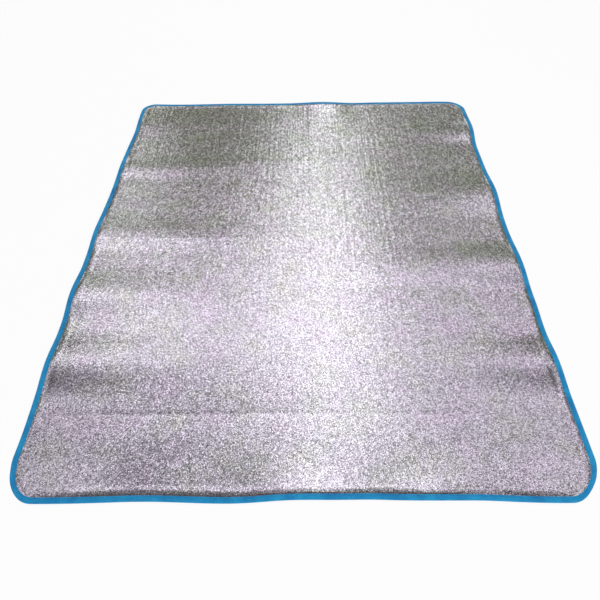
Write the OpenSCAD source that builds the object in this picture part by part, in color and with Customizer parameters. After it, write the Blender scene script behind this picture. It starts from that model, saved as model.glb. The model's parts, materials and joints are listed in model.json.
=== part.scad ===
// Folding ground mat: a sheet of foam between two aluminised films, creased
// into panels so that it folds up like a fan, and bound all round with a
// woven tape that is stitched down on both faces.
//
// The open mat lies on z = 0 with its middle at the origin: x runs across its
// width and y along its length, from the front edge to the rear edge. Panel 1
// is the front one. Crease k lies between panels k and k + 1, on crease_y(k);
// odd creases close the top faces together and even ones the base faces.

/* [Mat] */
// Width of the open mat, from side to side over the tape
mat_w = 1500; // [900:10:2000]
// Length of the open mat, from front to rear over the tape
mat_l = 2000; // [1200:10:3000]
// Radius of the four corners at the tape's outer edge
corner_r = 70; // [30:1:110]

/* [Creases] */
// Number of panels that the creases divide the mat into
panels = 8; // [4:1:10]
// Clear gap between two panels at a crease
crease_gap = 0.5; // [0.2:0.1:0.9]

/* [Laminate] */
// Thickness of the foam core
foam_t = 2.5; // [2:0.1:8]
// Thickness of each aluminised film
film_t = 0.1; // [0.05:0.05:0.2]

/* [Binding tape] */
// Width of the tape that shows on each face
tape_w = 16; // [10:0.5:25]
// Thickness of the woven tape
tape_t = 0.5; // [0.3:0.05:0.7]

/* [Stitching] */
// Distance from the tape's inner edge to the middle of the row of stitches
stitch_in = 3; // [2:0.5:6]
// Width of the row of thread
thread_w = 0.8; // [0.4:0.1:1.2]
// Depth that the thread sinks into the tape
thread_t = 0.25; // [0.1:0.05:0.25]

/* [Hidden] */

// Thickness of the mat, which is the same over the tape and between it
mat_t = foam_t + 2 * film_t;
// Length of one panel, from crease to crease
panel_l = mat_l / panels;
// Levels of the pinched rim, which the tape covers above and below
rim_low = tape_t;
rim_high = mat_t - tape_t;
// Distance from the mat's outer edge to the middle of the row of stitches
stitch_at = tape_w - stitch_in;
// How far a cutting shape runs past what it cuts
past = 1;

// Place along y of the line where panel k ends, from 0 at the front edge
function crease_y(k) = -mat_l / 2 + k * panel_l;

// The mat's rounded outline, moved in from the outer edge by a distance
module outline(inset) {
    w = mat_w - 2 * inset;
    l = mat_l - 2 * inset;
    r = corner_r - inset;
    square([w - 2 * r, l], center = true);
    square([w, l - 2 * r], center = true);
    for (x = [-1, 1], y = [-1, 1])
        translate([x * (w / 2 - r), y * (l / 2 - r)]) circle(r, $fn = 96);
}

// The strip of ground that panel k takes up, with half a gap at each crease
module panel_strip(k) {
    front = k == 1 ? crease_y(0) - past : crease_y(k - 1) + crease_gap / 2;
    rear = k == panels ? crease_y(k) + past : crease_y(k) - crease_gap / 2;
    translate([-mat_w / 2 - past, front]) square([mat_w + 2 * past, rear - front]);
}

// Panel k of a flat layer, from one level up to another
module layer(k, inset, low, high)
    translate([0, 0, low]) linear_extrude(high - low) intersection() {
        outline(inset);
        panel_strip(k);
    }

// Panel k of a band that follows the outline, between two distances from it
module band(k, outer, inner, low, high)
    translate([0, 0, low]) linear_extrude(high - low) intersection() {
        difference() {
            outline(outer);
            outline(inner);
        }
        panel_strip(k);
    }

// The base face's copy of something that is drawn on the top face
module on_base() translate([0, 0, mat_t]) mirror([0, 0, 1]) children();

// Aluminised film on the top face: flat between the tapes, stepped down at
// their inner edge and pinched under them
module film(k) {
    layer(k, tape_w, mat_t - film_t, mat_t);
    band(k, tape_w, tape_w + film_t, rim_high - film_t, mat_t);
    band(k, tape_t, tape_w + film_t, rim_high - film_t, rim_high);
}

module top_film(k) color("#D5D3D9") film(k);

module base_film(k) color("#C7C7CB") on_base() film(k);

// Foam between the films, pressed thinner where the tape pinches it
module foam_core(k) color("#F4F3EE") {
    layer(k, tape_w + film_t, film_t, mat_t - film_t);
    layer(k, tape_t, rim_low + film_t, rim_high - film_t);
}

// The row of thread on the top face
module stitch_row(k)
    band(k, stitch_at - thread_w / 2, stitch_at + thread_w / 2, mat_t - thread_t, mat_t);

module stitching(k) color("#1565A8") {
    stitch_row(k);
    on_base() stitch_row(k);
}

// Woven tape folded round the rim: its two faces are level with the films,
// and the thread lies in them
module binding(k) color("#1C86D6") difference() {
    band(k, 0, tape_w, 0, mat_t);
    band(k, tape_t, tape_w + past, rim_low, rim_high);
    stitch_row(k);
    on_base() stitch_row(k);
}

// One side's stretch of the tape along a panel that has no corners
module side_binding(k, side) intersection() {
    binding(k);
    translate([side * mat_w / 2, 0, mat_t / 2])
        cube([mat_w, mat_l + 2 * past, mat_t + 2 * past], center = true);
}

for (k = [1:panels]) {
    top_film(k);
    foam_core(k);
    base_film(k);
    stitching(k);
}
for (k = [2:panels - 1]) {
    side_binding(k, -1);
    side_binding(k, 1);
}
binding(1);  // front_binding
binding(panels);  // rear_binding
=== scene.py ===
import json
import math

import bpy
import numpy as np
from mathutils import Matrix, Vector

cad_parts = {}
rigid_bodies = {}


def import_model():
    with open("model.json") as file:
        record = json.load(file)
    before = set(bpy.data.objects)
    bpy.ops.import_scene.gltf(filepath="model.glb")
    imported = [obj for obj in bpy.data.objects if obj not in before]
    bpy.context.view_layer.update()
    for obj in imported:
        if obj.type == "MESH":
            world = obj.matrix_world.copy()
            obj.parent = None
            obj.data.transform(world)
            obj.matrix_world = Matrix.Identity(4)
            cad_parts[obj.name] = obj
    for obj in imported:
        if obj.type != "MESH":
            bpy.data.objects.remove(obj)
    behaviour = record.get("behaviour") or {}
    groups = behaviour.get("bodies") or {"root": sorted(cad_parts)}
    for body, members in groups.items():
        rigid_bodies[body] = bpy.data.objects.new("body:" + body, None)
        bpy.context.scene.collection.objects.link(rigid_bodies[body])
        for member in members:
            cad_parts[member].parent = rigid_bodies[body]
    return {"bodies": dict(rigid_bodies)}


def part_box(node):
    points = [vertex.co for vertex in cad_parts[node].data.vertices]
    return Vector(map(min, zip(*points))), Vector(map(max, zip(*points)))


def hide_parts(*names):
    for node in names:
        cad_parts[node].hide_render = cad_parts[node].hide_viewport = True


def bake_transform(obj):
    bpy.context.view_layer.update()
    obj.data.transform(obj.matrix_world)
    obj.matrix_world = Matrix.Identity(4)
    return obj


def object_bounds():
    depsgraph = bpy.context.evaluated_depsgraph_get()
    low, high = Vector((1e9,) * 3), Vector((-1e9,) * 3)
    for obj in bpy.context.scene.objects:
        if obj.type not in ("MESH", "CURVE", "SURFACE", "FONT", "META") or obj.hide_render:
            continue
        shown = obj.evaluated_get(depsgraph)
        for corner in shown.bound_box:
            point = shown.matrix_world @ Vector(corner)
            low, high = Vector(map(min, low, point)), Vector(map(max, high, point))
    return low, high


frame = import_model()
cad_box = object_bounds()


# ---------------------------------------------------------------------------
# Top film. Polyester film, metallised with aluminium on its underside, heat
# bonded to the foam by an embossed roller that leaves a fine grain and faint
# ribs along the mat. It is one sheet: it bends at every crease.
# ---------------------------------------------------------------------------

MM = 0.001
MAT_W = cad_box[1][0] - cad_box[0][0]
MAT_L = cad_box[1][1] - cad_box[0][1]
MAT_T = cad_box[1][2] - cad_box[0][2]
CORNER_R = 70 * MM
PANELS = len(frame["bodies"])
PANEL_L = MAT_L / PANELS
FRONT = -MAT_L / 2
FILM_T = 0.1 * MM
TAPE_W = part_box("side_binding_left_2")[1].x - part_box("side_binding_left_2")[0].x
TAPE_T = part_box("side_binding_left_2")[1].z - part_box("top_film_2")[0].z - FILM_T
# The films and the foam stop this far inside the tape's outer edge
RIM_INSET = 3 * MM

# Half the length of sheet that takes part in a crease, by what is left when its
# number is halved: odd creases (1) are open bends that close the top faces, and
# even ones (0) are tight.
BEND = {1: 5.5 * MM, 0: 4 * MM}


def swell(at, middle, reach):
    """A smooth rise from 0 to 1 at the middle and back to 0 at its reach."""
    near = np.clip(np.abs(at - middle) / reach, 0, 1)
    return 0.5 + 0.5 * np.cos(np.pi * near)


def bumps(at, rows):
    """The sum of several swells, each (middle, reach, height)."""
    return sum(height * swell(at, middle, reach) for middle, reach, height in rows)


def from_edge(x, y):
    """Distance from the mat's outer edge, on the flat mat."""
    over_x = np.abs(x) - (MAT_W / 2 - CORNER_R)
    over_y = np.abs(y) - (MAT_L / 2 - CORNER_R)
    outside = np.hypot(np.maximum(over_x, 0), np.maximum(over_y, 0))
    return CORNER_R - outside - np.minimum(np.maximum(over_x, over_y), 0)


# How the open mat lies: each edge lifts off the ground in a few places and
# wanders a little in plan. Rows are (place along the edge, reach, height), with
# places and reaches in metres and heights in millimetres. Places on the sides
# are counted from the front, and places on the ends from the middle.
LEFT_LIFT = [(0.43, 0.13, 6.0), (0.72, 0.13, 4.8), (1.03, 0.12, 4.6),
             (1.45, 0.10, 3.8), (1.80, 0.14, 2.0)]
RIGHT_LIFT = [(0.06, 0.09, 0.3), (0.43, 0.12, 5.2), (0.86, 0.14, 6.5),
              (1.27, 0.17, 4.5), (1.74, 0.12, 4.0)]
FRONT_LIFT = [(-0.62, 0.24, 3.0), (-0.30, 0.16, 1.5), (0.02, 0.20, 3.6),
              (0.38, 0.18, 4.4), (0.66, 0.20, 3.8)]
REAR_LIFT = [(0.11, 0.16, 6.7), (0.66, 0.14, 2.2), (-0.42, 0.20, 1.2)]
LEFT_SWAY = [(0.00, 0.13, 25.0), (0.18, 0.20, 5.0), (0.43, 0.12, -3.0), (0.72, 0.15, -6.5),
             (1.03, 0.15, -2.5), (1.30, 0.20, 5.0), (1.50, 0.20, 5.0), (1.75, 0.26, 14.0),
             (2.00, 0.20, 10.0)]
RIGHT_SWAY = [(0.00, 0.12, -33.0), (0.41, 0.12, 1.5), (0.56, 0.12, -3.5), (0.86, 0.18, 3.0),
              (1.05, 0.12, -2.0), (1.29, 0.17, 8.0), (1.60, 0.18, -2.0), (1.80, 0.20, 11.0),
              (2.00, 0.16, 6.0)]
FRONT_SWAY = [(-0.65, 0.45, -14.0), (-0.20, 0.26, -12.0), (0.06, 0.14, -4.0),
              (0.37, 0.30, -6.0), (0.66, 0.24, -12.0)]
REAR_SWAY = [(-0.55, 0.50, -20.0), (-0.12, 0.26, -9.0), (0.16, 0.20, -8.0), (0.60, 0.30, 6.0)]

# How sharply each crease is worn in, from the front one to the rear one
CREASE_WEAR = [0.45, 0.30, 0.25, 0.40, 0.25, 0.30, 0.30]


def worn_in(x, along):
    """The crease nearest to each place, and how sharp it is there."""
    nearest = np.clip(np.round(along / PANEL_L), 1, PANELS - 1).astype(int)
    wear = np.array(CREASE_WEAR)[nearest - 1]
    varied = 0.65 + 0.35 * np.sin(3.1 * x * (1 + 0.13 * nearest) + 2.4 * nearest)
    return nearest, wear * varied


def ground_lift(x, y):
    """Height of the mat's underside above the ground. Two facing places of an
    odd crease may lift by 11 mm between them before they meet when it closes."""
    along = y - FRONT
    from_side = MAT_W / 2 - np.abs(x)
    # Lifts of the four edges, each fading inwards over its own distance
    off_side = np.exp(-from_side / 0.21)
    side = np.where(x < 0, bumps(along, LEFT_LIFT), bumps(along, RIGHT_LIFT)) * off_side
    front = bumps(x, FRONT_LIFT) * np.exp(-(along / 0.08) ** 2)
    rear = bumps(x, REAR_LIFT) * np.exp(-(MAT_L - along) / 0.10)
    # The front part of both sides also curls up over its last few centimetres
    curl = 1.7 * swell(along, 0.14, 0.30) * np.exp(-from_side / 0.035)
    # Odd creases sink towards the ground and even ones rise, over 55 mm
    nearest, worn = worn_in(x, along)
    off = (along - nearest * PANEL_L) / (55 * MM)
    fan = 1.6 + np.where(nearest % 2 == 1, -1.25, 1.0) * worn * np.exp(-off * off)
    drift = 0.4 * (1 + np.sin(7.0 * x + 2.3 * along) * np.cos(3.7 * along - 2.9 * x))
    return (side + front + rear + curl + fan * (1 - 0.7 * off_side) + drift) * MM


def laid(points):
    """Points of the flat mat, moved to where they are on the mat as it lies."""
    x, y, z = points[:, 0], points[:, 1], points[:, 2]
    along = y - FRONT
    left = bumps(along, LEFT_SWAY) * np.clip(-2 * x / MAT_W, 0, 1) ** 3
    right = bumps(along, RIGHT_SWAY) * np.clip(2 * x / MAT_W, 0, 1) ** 3
    front = bumps(x, FRONT_SWAY) * np.clip(-2 * y / MAT_L, 0, 1) ** 3
    rear = bumps(x, REAR_SWAY) * np.clip(2 * y / MAT_L, 0, 1) ** 5
    moved = [x + (left + right) * MM, y + (front + rear) * MM, z + ground_lift(x, y)]
    return np.stack(moved, 1)


def crease_mark(x, y):
    """Depth of the line that each crease has left: a valley where the top
    faces close together and a low ridge where the base faces do."""
    nearest, worn = worn_in(x, y - FRONT)
    wander = 2.5 * MM * np.sin(4.0 * x + 1.7 * nearest)
    wander += 1.2 * MM * np.sin(13.0 * x + 2.9 * nearest)
    off = (y - (FRONT + nearest * PANEL_L) - wander) / (9 * MM)
    return np.where(nearest % 2 == 1, -0.35, 0.3) * worn * np.exp(-off * off) * MM


def rib_depth(x, y):
    """Faint ribs along the mat, one roller pitch apart: shallow troughs, each of
    its own depth, with a narrow ridge in each that is taller in every second
    one. All are deeper towards the rear, where the film left the roller hotter."""
    pitch = 24.3 * MM
    fine_pitch = 11.3 * MM
    turn = 2 * np.pi * x / pitch + 0.7 * np.sin(9.0 * x + 1.3)
    rib = np.floor(turn / (2 * np.pi) + 0.5)
    depth = 0.10 + 0.04 * np.sin(2.7 * rib) + 0.04 * np.sin(7.3 * rib + 1.0)
    hotter = 0.3 + 0.7 * np.clip((y - FRONT) / MAT_L * 1.5 - 0.2, 0, 1)
    fine = 0.035 * np.sin(2 * np.pi * x / fine_pitch)
    ridge = np.where(rib % 2 == 0, 0.22, 0.08) * np.exp(-((turn - 2 * np.pi * rib) / 0.8) ** 2)
    return (depth * np.cos(turn) - ridge + fine) * hotter * MM


def pinched(x, y, level):
    """Level of the top face where the tape presses the rim down, with the
    foam puffed up a little next to it."""
    off = from_edge(x, y) - TAPE_W
    pressed = np.clip(1 - off / (4 * MM), 0, 1)
    eased = pressed * pressed * (3 - 2 * pressed)
    puff = 0.35 * MM * swell(off, 14 * MM, 14 * MM)
    return level - TAPE_T * eased + puff


def segment_rows(k, step):
    """Places along y of the rows of segment k, which is the stretch of sheet
    about crease k, from the middle of one panel to the middle of the next.
    The first and last segments run on to the ends. Rows are close together at
    the crease, at the segment's ends and at the pinched rim."""
    start = FRONT + RIM_INSET if k == 1 else FRONT + (k - 0.5) * PANEL_L
    stop = -FRONT - RIM_INSET if k == PANELS - 1 else FRONT + (k + 0.5) * PANEL_L
    crease = FRONT + k * PANEL_L
    bend = BEND[k % 2]
    rows = [np.linspace(start, stop, round((stop - start) / step) + 1)]
    rows.append(np.linspace(crease - bend, crease + bend, round(2 * bend / (0.6 * MM)) + 1))
    rows.append(np.array([start + 1 * MM, stop - 1 * MM]))
    if k == 1:
        rows.append(np.arange(start, start + 30 * MM, 2.5 * MM))
    if k == PANELS - 1:
        rows.append(np.arange(stop - 30 * MM, stop, 2.5 * MM))
    rows = np.unique(np.round(np.concatenate(rows), 6))
    keep = np.concatenate([[True], np.diff(rows) > 0.3 * MM])
    rows = rows[keep]
    rows[-1] = stop
    return rows


def sheet_segment(name, k, column, row, top, low):
    """A closed sheet over segment k. column and row are the grid's steps, and
    top and low give its faces on the flat mat, from x and y."""
    y = segment_rows(k, row)
    beyond = np.maximum(np.abs(y) - (MAT_L / 2 - CORNER_R), 0)
    round_r = CORNER_R - RIM_INSET
    half = MAT_W / 2 - CORNER_R + np.sqrt(np.maximum(round_r**2 - beyond**2, 0))
    share = np.linspace(-1, 1, round(MAT_W / column) + 1)
    m, n = len(y), len(share)
    x = (half[:, None] * share[None, :]).ravel()
    y = np.repeat(y, n)
    upper = laid(np.stack([x, y, top(x, y)], 1))
    lower = laid(np.stack([x, y, low(x, y)], 1))
    at = np.arange(m * n).reshape(m, n)
    under = at + m * n

    def quads(a, b, c, d):
        return np.stack([a.ravel(), b.ravel(), c.ravel(), d.ravel()], 1)

    faces = np.concatenate([
        quads(at[:-1, :-1], at[:-1, 1:], at[1:, 1:], at[1:, :-1]),
        quads(under[:-1, :-1], under[1:, :-1], under[1:, 1:], under[:-1, 1:]),
        quads(under[0, :-1], under[0, 1:], at[0, 1:], at[0, :-1]),
        quads(at[-1, :-1], at[-1, 1:], under[-1, 1:], under[-1, :-1]),
        quads(at[:-1, 0], at[1:, 0], under[1:, 0], under[:-1, 0]),
        quads(under[:-1, -1], under[1:, -1], at[1:, -1], at[:-1, -1]),
    ])
    return new_piece(name, np.concatenate([upper, lower]), faces)


def new_piece(name, points, faces):
    """A smooth mesh object, sharp only where its faces turn by over 40 degrees."""
    mesh = bpy.data.meshes.new(name)
    mesh.from_pydata(points.tolist(), [], faces.tolist())
    mesh.polygons.foreach_set("use_smooth", [True] * len(mesh.polygons))
    mesh.set_sharp_from_angle(angle=math.radians(40))
    piece = bpy.data.objects.new(name, mesh)
    bpy.context.scene.collection.objects.link(piece)
    return piece


def bend_with(piece):
    """Bakes a piece's transform into its mesh."""
    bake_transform(piece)


def stands_for(k, node):
    """Piece k of a skin stands for its panel's CAD node, and the last one for two."""
    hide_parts(f"{node}_{k}")
    if k == PANELS - 1:
        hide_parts(f"{node}_{PANELS}")


def linear(hex_colour):
    """sRGB hex to the linear RGBA that shaders take."""
    parts = [int(hex_colour[i:i + 2], 16) / 255 for i in (1, 3, 5)]
    return [c / 12.92 if c <= 0.04045 else ((c + 0.055) / 1.055) ** 2.4 for c in parts] + [1]


def add(tree, kind, inputs=(), **settings):
    """A node with its settings, and its inputs given as values or as links."""
    made = tree.nodes.new(kind)
    for key, value in settings.items():
        setattr(made, key, value)
    for key, value in dict(inputs).items():
        if isinstance(value, bpy.types.NodeSocket):
            tree.links.new(value, made.inputs[key])
        else:
            made.inputs[key].default_value = value
    return made


def new_material(name):
    """A material with its Principled shader, ready for its links."""
    made = bpy.data.materials.new(name)
    made.use_nodes = True
    return made, made.node_tree, made.node_tree.nodes["Principled BSDF"]


def metallised_film(name, silver, pink, green):
    """Metallised polyester film, embossed: bright aluminium seen through clear film, a hard sparkle
    where each dimple of the grain faces its own way, painted glints and shade in the colour of each
    dimple and streak, and a faint pink to green cast where the film's thickness varies."""
    made, tree, shader = new_material(name)
    place = add(tree, "ShaderNodeTexCoord").outputs["Object"]
    # The film's slow waves, drawn steeper than the mesh, because thin film
    # ripples more sharply than the foam that it lies on
    steeper = 2.4
    normal = add(tree, "ShaderNodeNewGeometry").outputs["Normal"]
    wavy = add(tree, "ShaderNodeVectorMath", {
        0: normal, 1: (steeper, steeper, 1.0)}, operation="MULTIPLY")
    level = add(tree, "ShaderNodeVectorMath", {0: wavy.outputs["Vector"]}, operation="NORMALIZE")
    # Dimples of the embossing roller, 1.5 mm across, drawn at 2.6 mm so that
    # they show
    dimple = add(tree, "ShaderNodeTexVoronoi", {"Vector": place, "Scale": 1 / 0.0026})
    # The uneven bond under them, in streaks 6 mm by 12 mm along the mat that
    # grow stronger from the front to the rear
    streaks = add(tree, "ShaderNodeMapping", {"Vector": place, "Scale": (1.0, 0.5, 1.0)})
    patch = add(tree, "ShaderNodeTexVoronoi", {
        "Vector": streaks.outputs["Vector"], "Scale": 1 / 0.0060})
    toward_rear = add(tree, "ShaderNodeSeparateXYZ", {0: place}).outputs["Y"]
    uneven = add(tree, "ShaderNodeMapRange", {
        "Value": toward_rear, "From Min": -0.5, "From Max": 0.7, "To Min": 0.2, "To Max": 0.8})
    either_way = add(tree, "ShaderNodeVectorMath", {
        0: patch.outputs["Color"], 1: (0.5, 0.5, 0.5)}, operation="SUBTRACT")
    bonded = add(tree, "ShaderNodeVectorMath", {
        0: either_way.outputs["Vector"], "Scale": uneven.outputs["Result"]}, operation="SCALE")
    # Each dimple is tipped its own way by up to about 4 degrees along either
    # axis, and each streak by up to about 1 degree
    dimple_tilt = add(tree, "ShaderNodeVectorMath", {
        0: dimple.outputs["Color"], 1: (0.15, 0.15, 0.0), 2: (-0.075, -0.075, 0.0)},
        operation="MULTIPLY_ADD")
    patch_tilt = add(tree, "ShaderNodeVectorMath", {
        0: bonded.outputs["Vector"], 1: (0.05, 0.05, 0.0)}, operation="MULTIPLY")
    tilt = add(tree, "ShaderNodeVectorMath", {
        0: dimple_tilt.outputs["Vector"], 1: patch_tilt.outputs["Vector"]}, operation="ADD")
    faced = add(tree, "ShaderNodeVectorMath", {
        0: level.outputs["Vector"], 1: tilt.outputs["Vector"]}, operation="ADD")
    facing = add(tree, "ShaderNodeVectorMath", {0: faced.outputs["Vector"]}, operation="NORMALIZE")
    # Cast of the film, in drifts about 120 mm across, broken up by the streaks
    cast = add(tree, "ShaderNodeTexNoise", {"Vector": place, "Scale": 1 / 0.12, "Detail": 2.0})
    broken = add(tree, "ShaderNodeMath", {
        0: patch.outputs["Color"], 1: 0.2, 2: cast.outputs["Fac"]}, operation="MULTIPLY_ADD")
    spread = add(tree, "ShaderNodeMapRange", {
        "Value": broken.outputs["Value"], "From Min": 0.35, "From Max": 0.85})
    tint = add(tree, "ShaderNodeValToRGB", {"Fac": spread.outputs["Result"]})
    stops = tint.color_ramp.elements
    stops[0].color = linear(green)
    stops[1].color = linear(pink)
    middle = stops.new(0.45)
    middle.color = linear(silver)
    # Painted glints and shade: each dimple and streak has its colour scaled at random, from 0.42 to 1.2
    # times, to stand in for the light and shade that it catches. This reads the third channel of their
    # random colours, because their tilt reads the first two.
    shaded = add(tree, "ShaderNodeVectorMath", {
        0: bonded.outputs["Vector"], 1: dimple.outputs["Color"]}, operation="ADD")
    painted_glint_channel = add(tree, "ShaderNodeSeparateXYZ", {0: shaded.outputs["Vector"]})
    painted_glints = add(tree, "ShaderNodeMapRange", {
        "Value": painted_glint_channel.outputs["Z"],
        "From Min": 0.15, "From Max": 0.85, "To Min": 0.42, "To Max": 1.20})
    # The film's cast, scaled by the painted glints and shade
    colour = add(tree, "ShaderNodeVectorMath", {
        0: tint.outputs["Color"], "Scale": painted_glints.outputs["Result"]}, operation="SCALE")
    tree.links.new(colour.outputs["Vector"], shader.inputs["Base Color"])
    tree.links.new(facing.outputs["Vector"], shader.inputs["Normal"])
    shader.inputs["Metallic"].default_value = 1.0
    shader.inputs["Roughness"].default_value = 0.23
    return made


top_foil = metallised_film("metallised_film_top", "#E1E2E6", "#E5DFE9", "#DCE0D8")

for k in range(1, PANELS):
    piece = sheet_segment(
        f"top_foil_{k}", k, 3.5 * MM, 6 * MM,
        lambda x, y: pinched(x, y, MAT_T) + crease_mark(x, y) - rib_depth(x, y),
        lambda x, y: pinched(x, y, MAT_T) + crease_mark(x, y) - rib_depth(x, y) - FILM_T)
    piece.data.materials.append(top_foil)
    stands_for(k, "top_film")
    bend_with(piece)


# ---------------------------------------------------------------------------
# Foam core. Expanded polyethylene, extruded as a white sheet with small
# closed cells. The films are bonded to both of its faces, and the tape closes
# its cut edge, so it shows only where something is cut open.
# ---------------------------------------------------------------------------

foam, tree, shader = new_material("expanded_polyethylene_foam")
place = add(tree, "ShaderNodeTexCoord").outputs["Object"]
cells = add(tree, "ShaderNodeTexVoronoi", {"Vector": place, "Scale": 1 / 0.0015})
cell_bump = add(tree, "ShaderNodeBump", {
    "Height": cells.outputs["Distance"], "Strength": 0.6, "Distance": 0.0004})
cell_shade = add(tree, "ShaderNodeMapRange", {
    "Value": cells.outputs["Distance"], "To Min": 0.86, "To Max": 0.95})
tree.links.new(cell_shade.outputs["Result"], shader.inputs["Base Color"])
tree.links.new(cell_bump.outputs["Normal"], shader.inputs["Normal"])
shader.inputs["Roughness"].default_value = 0.7
shader.inputs["Subsurface Weight"].default_value = 0.15
shader.inputs["Subsurface Radius"].default_value = (0.002, 0.002, 0.002)

# The foam's faces stay this far inside the films, clear of their ribs
FOAM_CLEAR = 0.35 * MM
for k in range(1, PANELS):
    piece = sheet_segment(
        f"foam_{k}", k, 16 * MM, 8 * MM,
        lambda x, y: pinched(x, y, MAT_T) + crease_mark(x, y) - FOAM_CLEAR,
        lambda x, y: MAT_T - pinched(x, y, MAT_T) + crease_mark(x, y) * 0.2 + FOAM_CLEAR)
    piece.data.materials.append(foam)
    stands_for(k, "foam_core")
    bend_with(piece)


# ---------------------------------------------------------------------------
# Base film. The same metallised film on the ground side, bonded on smooth
# rollers, so it has the grain but not the ribs.
# ---------------------------------------------------------------------------

base_foil = metallised_film("metallised_film_base", "#D9D8DB", "#DDD6DC", "#D5D8D3")

for k in range(1, PANELS):
    piece = sheet_segment(
        f"base_foil_{k}", k, 9 * MM, 8 * MM,
        lambda x, y: MAT_T - pinched(x, y, MAT_T) + FILM_T,
        lambda x, y: MAT_T - pinched(x, y, MAT_T))
    piece.data.materials.append(base_foil)
    stands_for(k, "base_film")
    bend_with(piece)


# ---------------------------------------------------------------------------
# Binding tape. Polyester tape woven about 34 mm wide with a fine rib, folded in half
# round the rim and drawn tight. It runs right round the mat in one length.
# ---------------------------------------------------------------------------

tape_cloth, tree, shader = new_material("woven_polyester_tape")
along = add(tree, "ShaderNodeAttribute", attribute_name="along").outputs["Fac"]
across = add(tree, "ShaderNodeAttribute", attribute_name="across").outputs["Fac"]
# The weave, as a wave 1.4 mm long along the tape times one 1.8 mm long across
# it. The real ribs are nearer 0.8 mm apart, and are drawn coarser so that they
# show.
weft = add(tree, "ShaderNodeMath", {0: along, 1: 2 * math.pi / 0.0014}, operation="MULTIPLY")
weft_wave = add(tree, "ShaderNodeMath", {0: weft.outputs["Value"]}, operation="SINE")
warp = add(tree, "ShaderNodeMath", {0: across, 1: 2 * math.pi / 0.0018}, operation="MULTIPLY")
warp_wave = add(tree, "ShaderNodeMath", {0: warp.outputs["Value"]}, operation="SINE")
weave = add(tree, "ShaderNodeMath", {
    0: weft_wave.outputs["Value"], 1: warp_wave.outputs["Value"]}, operation="MULTIPLY")
place = add(tree, "ShaderNodeTexCoord").outputs["Object"]
dye = add(tree, "ShaderNodeTexNoise", {"Vector": place, "Scale": 1 / 0.05, "Detail": 4.0})
slub = add(tree, "ShaderNodeMath", {0: weave.outputs["Value"], 1: 0.16}, operation="MULTIPLY")
shade = add(tree, "ShaderNodeMath", {0: slub.outputs["Value"], 1: dye.outputs["Fac"]}, operation="ADD")
blues = add(tree, "ShaderNodeValToRGB", {"Fac": shade.outputs["Value"]})
blues.color_ramp.elements[0].position = 0.25
blues.color_ramp.elements[0].color = linear("#0A78B6")
blues.color_ramp.elements[1].position = 0.75
blues.color_ramp.elements[1].color = linear("#26A8DA")
# Painted shade: the tape's colour is darkened low on the rim, where its base side turns up into the fold
# and faces the ground. That is this far round its section, which starts at the top inner edge, runs
# along the inside face and comes back on the outside.
FOLD_AT = 45.7 * MM
from_fold = add(tree, "ShaderNodeMath", {0: across, 1: FOLD_AT}, operation="SUBTRACT")
fold_reach = add(tree, "ShaderNodeMath", {0: from_fold.outputs["Value"]}, operation="ABSOLUTE")
painted_fold_shade = add(tree, "ShaderNodeMapRange", {
    "Value": fold_reach.outputs["Value"],
    "From Min": 0.0012, "From Max": 0.0038, "To Min": 0.45, "To Max": 1.05})
# The dye's colour, darkened by the painted shade at the fold
dye_and_painted_shade = add(tree, "ShaderNodeVectorMath", {
    0: blues.outputs["Color"], "Scale": painted_fold_shade.outputs["Result"]}, operation="SCALE")
tree.links.new(dye_and_painted_shade.outputs["Vector"], shader.inputs["Base Color"])
weave_bump = add(tree, "ShaderNodeBump", {
    "Height": weave.outputs["Value"], "Strength": 0.7, "Distance": 0.00018})
tree.links.new(weave_bump.outputs["Normal"], shader.inputs["Normal"])
shader.inputs["Roughness"].default_value = 0.7
shader.inputs["Specular IOR Level"].default_value = 0.3


# Distance from the mat's outer edge to the middle of the row of stitches
STITCH_AT = 13 * MM


def tape_profile():
    """The folded tape's cross-section: points of (distance in from the outer
    edge, height), closed. Inside face from the top inner edge round the nose
    to the base inner edge, then back along the outside face."""
    nose = 2.4 * MM
    steps = 8

    def face(depth):
        """One face of the tape, at a depth in from its outside."""
        points = []
        middle = MAT_T / 2
        for i in range(steps + 1):
            u = TAPE_W + (nose - TAPE_W) * i / steps
            crown = 0.45 * MM * math.sin(math.pi * min(max((u - 1 * MM) / (12.5 * MM), 0), 1))
            drawn = 0.28 * MM * math.exp(-((u - STITCH_AT) / (1.3 * MM)) ** 2)
            points.append((u, MAT_T - depth + crown - drawn))
        top_at_nose = points[-1][1]
        for i in range(1, 6):
            turn = math.pi * i / 6
            radius = nose - depth
            reach = top_at_nose - middle if turn < math.pi / 2 else middle - depth
            level = middle + reach * math.cos(turn)
            points.append((nose - radius * math.sin(turn), level))
        for i in range(steps + 1):
            u = nose + (TAPE_W - nose) * i / steps
            drawn = 0.2 * MM * math.exp(-((u - STITCH_AT) / (1.3 * MM)) ** 2)
            points.append((u, depth + drawn))
        return points

    # The inside face is kept this much clear of the pressed rim
    clear = 0.05 * MM
    return face(TAPE_T - clear) + face(0)[::-1]


def edge_path(inset, k, side):
    """Points on the flat mat along the edge, a set distance in from it, over
    segment k. Sides run front to rear on one side; the first and last
    segments run round the whole end, from the right side to the left one."""
    rows = segment_rows(k, 5 * MM)
    corner_y = MAT_L / 2 - CORNER_R
    x = MAT_W / 2 - inset
    if side:
        return [(side * x, y) for y in rows]
    turns = np.linspace(0, math.pi / 2, 19)
    radius = CORNER_R - inset
    corner_x = MAT_W / 2 - CORNER_R
    corner = [(corner_x + radius * math.cos(t), corner_y + radius * math.sin(t)) for t in turns]
    across = np.linspace(corner_x, 0, 130)[1:]
    end = corner + [(a, MAT_L / 2 - inset) for a in across]
    if k == 1:
        straight = [(x, -y) for y in rows[::-1] if -y < corner_y - 1 * MM]
    else:
        straight = [(x, y) for y in rows if y < corner_y - 1 * MM]
    right = straight + end
    both = right + [(-a, b) for a, b in right[-2::-1]]
    return both if k > 1 else [(a, -b) for a, b in both]


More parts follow.
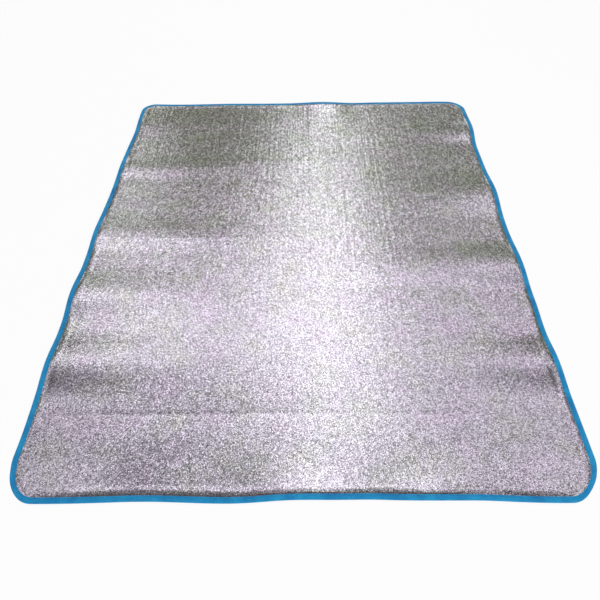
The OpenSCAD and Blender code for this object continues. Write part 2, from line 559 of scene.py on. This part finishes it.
def new_curve(name, points, closed=False):
    """A curve object of straight runs through points in the plane."""
    data = bpy.data.curves.new(name, "CURVE")
    data.dimensions = "3D"
    spline = data.splines.new("POLY")
    spline.points.add(len(points) - 1)
    spline.points.foreach_set("co", np.array([(a, b, 0, 1) for a, b in points]).ravel())
    spline.use_cyclic_u = closed
    made = bpy.data.objects.new(name, data)
    bpy.context.scene.collection.objects.link(made)
    return made


def new_tree(name, inputs):
    """A Geometry Nodes tree with named inputs, and the identifier of each."""
    tree = bpy.data.node_groups.new(name, "GeometryNodeTree")
    tree.interface.new_socket("Geometry", in_out="INPUT", socket_type="NodeSocketGeometry")
    for label, kind in inputs.items():
        tree.interface.new_socket(label, in_out="INPUT", socket_type="NodeSocket" + kind)
    tree.interface.new_socket("Geometry", in_out="OUTPUT", socket_type="NodeSocketGeometry")
    sockets = {s.name: s.identifier for s in tree.interface.items_tree if s.in_out == "INPUT"}
    return tree, tree.nodes.new("NodeGroupInput").outputs, sockets


def made_by(tree, sockets, path, name, values):
    """What a tree makes along a path, as a plain mesh piece laid on the ground."""
    modifier = path.modifiers.new("make", "NODES")
    modifier.node_group = tree
    for label, value in values.items():
        modifier[sockets[label]] = value
    path.update_tag()
    ready = path.evaluated_get(bpy.context.evaluated_depsgraph_get())
    mesh = bpy.data.meshes.new_from_object(ready, preserve_all_data_layers=True)
    path.modifiers.remove(modifier)
    bpy.data.objects.remove(path)
    points = np.zeros(len(mesh.vertices) * 3)
    mesh.vertices.foreach_get("co", points)
    mesh.vertices.foreach_set("co", laid(points.reshape(-1, 3)).ravel())
    mesh.polygons.foreach_set("use_smooth", [True] * len(mesh.polygons))
    mesh.set_sharp_from_angle(angle=math.radians(50))
    mesh.update()
    piece = bpy.data.objects.new(name, mesh)
    bpy.context.scene.collection.objects.link(piece)
    return piece


tape_tree, given, tape_sockets = new_tree("folded_tape", {"Profile": "Object", "Cloth": "Material"})
path_length = add(tape_tree, "GeometryNodeSplineParameter").outputs["Length"]
run = add(tape_tree, "GeometryNodeStoreNamedAttribute", {
    "Geometry": given["Geometry"], "Name": "along", "Value": path_length},
    data_type="FLOAT", domain="POINT")
upright = add(tape_tree, "GeometryNodeSetCurveNormal", {"Curve": run.outputs["Geometry"]}, mode="Z_UP")
shape = add(tape_tree, "GeometryNodeObjectInfo", {"Object": given["Profile"]})
girth = add(tape_tree, "GeometryNodeStoreNamedAttribute", {
    "Geometry": shape.outputs["Geometry"], "Name": "across", "Value": path_length},
    data_type="FLOAT", domain="POINT")
swept = add(tape_tree, "GeometryNodeCurveToMesh", {
    "Curve": upright.outputs["Curve"], "Profile Curve": girth.outputs["Geometry"], "Fill Caps": True})
real = add(tape_tree, "GeometryNodeRealizeInstances", {"Geometry": swept.outputs["Mesh"]})
dressed = add(tape_tree, "GeometryNodeSetMaterial", {
    "Geometry": real.outputs["Geometry"], "Material": given["Cloth"]})
add(tape_tree, "NodeGroupOutput", {"Geometry": dressed.outputs["Geometry"]})

# The sweep takes a profile's x to the right of its path, and its y downwards
profile = new_curve("tape_profile", [(u, -z) for u, z in tape_profile()], closed=True)

# Each stretch of edge as (name, segment, side), where side 0 is a whole end
stretches = [("front", 1, 0), ("rear", PANELS - 1, 0)]
for k in range(2, PANELS - 1):
    stretches += [(f"left_{k}", k, -1), (f"right_{k}", k, 1)]

tapes = {}
for name, k, side in stretches:
    route = edge_path(0, k, side)
    if side == 1 or k == PANELS - 1:
        route = route[::-1]
    piece = made_by(tape_tree, tape_sockets, new_curve("edge_path", route), f"tape_{name}",
                    {"Profile": profile, "Cloth": tape_cloth})
    tapes[name] = piece
bpy.data.objects.remove(profile)

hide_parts("front_binding")
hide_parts("rear_binding",
            f"side_binding_left_{PANELS - 1}", f"side_binding_right_{PANELS - 1}")
for name, k, side in stretches:
    if side:
        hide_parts(f"side_binding_{'left' if side < 0 else 'right'}_{k}")
    bend_with(tapes[name])


# ---------------------------------------------------------------------------
# Stitching. Twisted polyester thread in a lockstitch through the tape and the
# mat, so that each face has the same row of stitches, sunk into the tape.
# ---------------------------------------------------------------------------

thread, tree, shader = new_material("twisted_polyester_thread")
place = add(tree, "ShaderNodeTexCoord").outputs["Object"]
# Twist of the thread, 3.6 mm from strand to strand along an axis. The real one
# is nearer 0.9 mm, and is drawn coarser.
twist = add(tree, "ShaderNodeTexWave", {
    "Vector": place, "Scale": 1 / 0.0057, "Distortion": 1.0}, bands_direction="DIAGONAL")
twist_bump = add(tree, "ShaderNodeBump", {
    "Height": twist.outputs["Fac"], "Strength": 0.6, "Distance": 0.0001})
strands = add(tree, "ShaderNodeValToRGB", {"Fac": twist.outputs["Fac"]})
strands.color_ramp.elements[0].color = linear("#0D5798")
strands.color_ramp.elements[1].color = linear("#2D8AD0")
tree.links.new(strands.outputs["Color"], shader.inputs["Base Color"])
tree.links.new(twist_bump.outputs["Normal"], shader.inputs["Normal"])
shader.inputs["Roughness"].default_value = 0.5
shader.inputs["Sheen Weight"].default_value = 0.2

stitch_tree, given, stitch_sockets = new_tree("row_of_stitches", {
    "Pitch": "Float", "Stitch Length": "Float", "Thread": "Float", "Top": "Float", "Base": "Float",
    "Material": "Material"})
spaced = add(stitch_tree, "GeometryNodeResampleCurve", {
    "Curve": given["Geometry"], "Length": given["Pitch"]}, mode="LENGTH")
capsule = add(stitch_tree, "GeometryNodeMeshUVSphere", {"Segments": 6, "Rings": 5, "Radius": 0.5})
size = add(stitch_tree, "ShaderNodeCombineXYZ", {
    "X": given["Stitch Length"], "Y": given["Thread"], "Z": given["Thread"]})
stitch = add(stitch_tree, "GeometryNodeTransform", {
    "Geometry": capsule.outputs["Mesh"], "Scale": size.outputs["Vector"]})
facing = add(stitch_tree, "FunctionNodeAlignRotationToVector", {
    "Vector": add(stitch_tree, "GeometryNodeInputTangent").outputs["Tangent"]}, axis="X", pivot_axis="Z")
row = add(stitch_tree, "GeometryNodeInstanceOnPoints", {
    "Points": spaced.outputs["Curve"], "Instance": stitch.outputs["Geometry"],
    "Rotation": facing.outputs["Rotation"]})
up = add(stitch_tree, "ShaderNodeCombineXYZ", {"Z": given["Top"]})
down = add(stitch_tree, "ShaderNodeCombineXYZ", {"Z": given["Base"]})
upper_row = add(stitch_tree, "GeometryNodeTransform", {
    "Geometry": row.outputs["Instances"], "Translation": up.outputs["Vector"]})
lower_row = add(stitch_tree, "GeometryNodeTransform", {
    "Geometry": row.outputs["Instances"], "Translation": down.outputs["Vector"]})
rows = add(stitch_tree, "GeometryNodeJoinGeometry")
stitch_tree.links.new(upper_row.outputs["Geometry"], rows.inputs["Geometry"])
stitch_tree.links.new(lower_row.outputs["Geometry"], rows.inputs["Geometry"])
real = add(stitch_tree, "GeometryNodeRealizeInstances", {"Geometry": rows.outputs["Geometry"]})
dressed = add(stitch_tree, "GeometryNodeSetMaterial", {
    "Geometry": real.outputs["Geometry"], "Material": given["Material"]})
add(stitch_tree, "NodeGroupOutput", {"Geometry": dressed.outputs["Geometry"]})

# Two hundred stitches to the metre, of 0.8 mm thread that is partly sunk in both
# faces of the tape, and further in its base face than in its top one
row_of_thread = {"Pitch": 5 * MM, "Stitch Length": 4.2 * MM, "Thread": 0.8 * MM,
                 "Top": MAT_T - 0.1 * MM, "Base": 0.4 * MM, "Material": thread}

for name, k, side in stretches:
    route = new_curve("stitch_path", edge_path(STITCH_AT, k, side))
    piece = made_by(stitch_tree, stitch_sockets, route, f"stitches_{name}", row_of_thread)
    bend_with(piece)
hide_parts("stitching_1")
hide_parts(f"stitching_{PANELS - 1}", f"stitching_{PANELS}")
for k in range(2, PANELS - 1):
    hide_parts(f"stitching_{k}")


# ---------------------------------------------------------------------------
# Studio: a pale floor, walls that are pale low down, olive above, bright in a
# band high up and dark overhead, soft boxes above the mat that its film mirrors,
# and a large soft box at the front right.
# ---------------------------------------------------------------------------

floor_paint, tree, shader = new_material("pale_floor")
shader.inputs["Base Color"].default_value = linear("#F2F2F2")
shader.inputs["Roughness"].default_value = 0.9
shader.inputs["Specular IOR Level"].default_value = 0.1
ray = add(tree, "ShaderNodeLightPath")
seen = add(tree, "ShaderNodeMath", {
    0: ray.outputs["Is Camera Ray"], 1: ray.outputs["Is Glossy Ray"]}, operation="ADD")
seen_through = add(tree, "ShaderNodeMath", {
    0: seen.outputs["Value"], 1: ray.outputs["Is Transmission Ray"]}, operation="ADD")
# Whatever sees the floor sees it glow evenly, with a little of its lit paint
# mixed in, which takes a faint shadow
glow = add(tree, "ShaderNodeMath", {0: seen_through.outputs["Value"], 1: 0.93}, operation="MULTIPLY")
white = add(tree, "ShaderNodeEmission", {"Color": (1, 1, 1, 1), "Strength": 1.0})
mixed = add(tree, "ShaderNodeMixShader", {
    0: glow.outputs["Value"], 1: shader.outputs["BSDF"], 2: white.outputs["Emission"]})
tree.links.new(mixed.outputs["Shader"], tree.nodes["Material Output"].inputs["Surface"])

bpy.ops.mesh.primitive_circle_add(vertices=96, radius=14, fill_type="NGON", location=(0, 0, 0))
floor = bpy.context.object
floor.name = "floor"
floor.data.materials.append(floor_paint)

world = bpy.data.worlds.new("studio")
bpy.context.scene.world = world
world.use_nodes = True
tree = world.node_tree
background = tree.nodes["Background"]
# Walls by the height that they are seen at, from 0 at the horizon to 1 overhead
direction = add(tree, "ShaderNodeTexCoord").outputs["Generated"]
height = add(tree, "ShaderNodeSeparateXYZ", {0: direction}).outputs["Z"]
walls = add(tree, "ShaderNodeValToRGB", {"Fac": height})
stops = walls.color_ramp.elements
stops[0].position = 0.19
stops[0].color = linear("#F4F4F4")
stops[1].position = 0.29
stops[1].color = linear("#454A30")
higher = ((0.56, "#484E34"), (0.62, "#7C7C78"), (0.69, "#E4D6E6"), (0.77, "#E6DCEA"),
          (0.82, "#8D878E"), (0.90, "#747176"), (0.95, "#4C4A4C"), (1.0, "#484648"))
for position, colour in higher:
    stop = stops.new(position)
    stop.color = linear(colour)
# Stands, drapes and panels break the room up into lighter and darker parts
clutter = add(tree, "ShaderNodeTexNoise", {"Vector": direction, "Scale": 6.0, "Detail": 1.0})
parts = add(tree, "ShaderNodeMapRange", {
    "Value": clutter.outputs["Fac"], "From Min": 0.4, "From Max": 0.6, "To Min": 0.45, "To Max": 1.5})
# Low down there is only the pale backdrop
above = add(tree, "ShaderNodeMapRange", {"Value": height, "From Min": 0.19, "From Max": 0.29})
mottle = add(tree, "ShaderNodeMix", {
    "Factor": above.outputs["Result"], "A": 1.0, "B": parts.outputs["Result"]})
room = add(tree, "ShaderNodeVectorMath", {
    0: walls.outputs["Color"], "Scale": mottle.outputs["Result"]}, operation="SCALE")
tree.links.new(room.outputs["Vector"], background.inputs["Color"])
background.inputs["Strength"].default_value = 1.4


def soft_light(name, place, turn, width, length, radiance):
    """A soft box that shows in reflections as a panel of even brightness.
    Turns are in degrees."""
    data = bpy.data.lights.new(name, "AREA")
    data.shape = "RECTANGLE"
    data.size = width
    data.size_y = length
    data.energy = math.pi * width * length * radiance
    made = bpy.data.objects.new(name, data)
    bpy.context.scene.collection.objects.link(made)
    made.location = place
    made.rotation_euler = [math.radians(angle) for angle in turn]
    made.visible_camera = False


soft_light("strip_overhead", (0.235, 2.3, 2.0), (0, 0, 0), 0.50, 5.2, 0.55)
soft_light("strip_halo", (0.16, 2.3, 2.02), (0, 0, 0), 1.15, 5.2, 0.27)
soft_light("strip_rear", (0.16, 3.9, 1.98), (0, 0, 0), 0.60, 2.2, 0.42)
soft_light("left_panel", (-1.45, 1.45, 2.0), (0, 0, 0), 1.3, 0.95, 0.55)
soft_light("left_edge", (-1.82, 3.7, 2.0), (0, 0, 0), 0.30, 2.4, 1.7)
soft_light("right_panel", (1.62, 2.88, 2.0), (0, 0, 0), 0.60, 0.55, 0.9)
soft_light("right_rear", (1.20, 4.45, 2.0), (0, 0, 0), 1.10, 0.32, 1.4)
soft_light("front_fill", (2.2, -4.0, 4.0), (45, 0, 28), 5.0, 4.0, 2.7)

camera_data = bpy.data.cameras.new("camera")
camera_data.sensor_width = 36
camera_data.lens = 37.32
# Degrees below level that the camera looks
camera_down = 45.1
camera = bpy.data.objects.new("camera", camera_data)
bpy.context.scene.collection.objects.link(camera)
camera.location = (-0.008, -1.728, 1.423)
camera.rotation_euler = (math.radians(90 - camera_down), 0, 0)
bpy.context.scene.camera = camera
bpy.context.scene.view_settings.view_transform = "Standard"

bpy.context.view_layer.update()
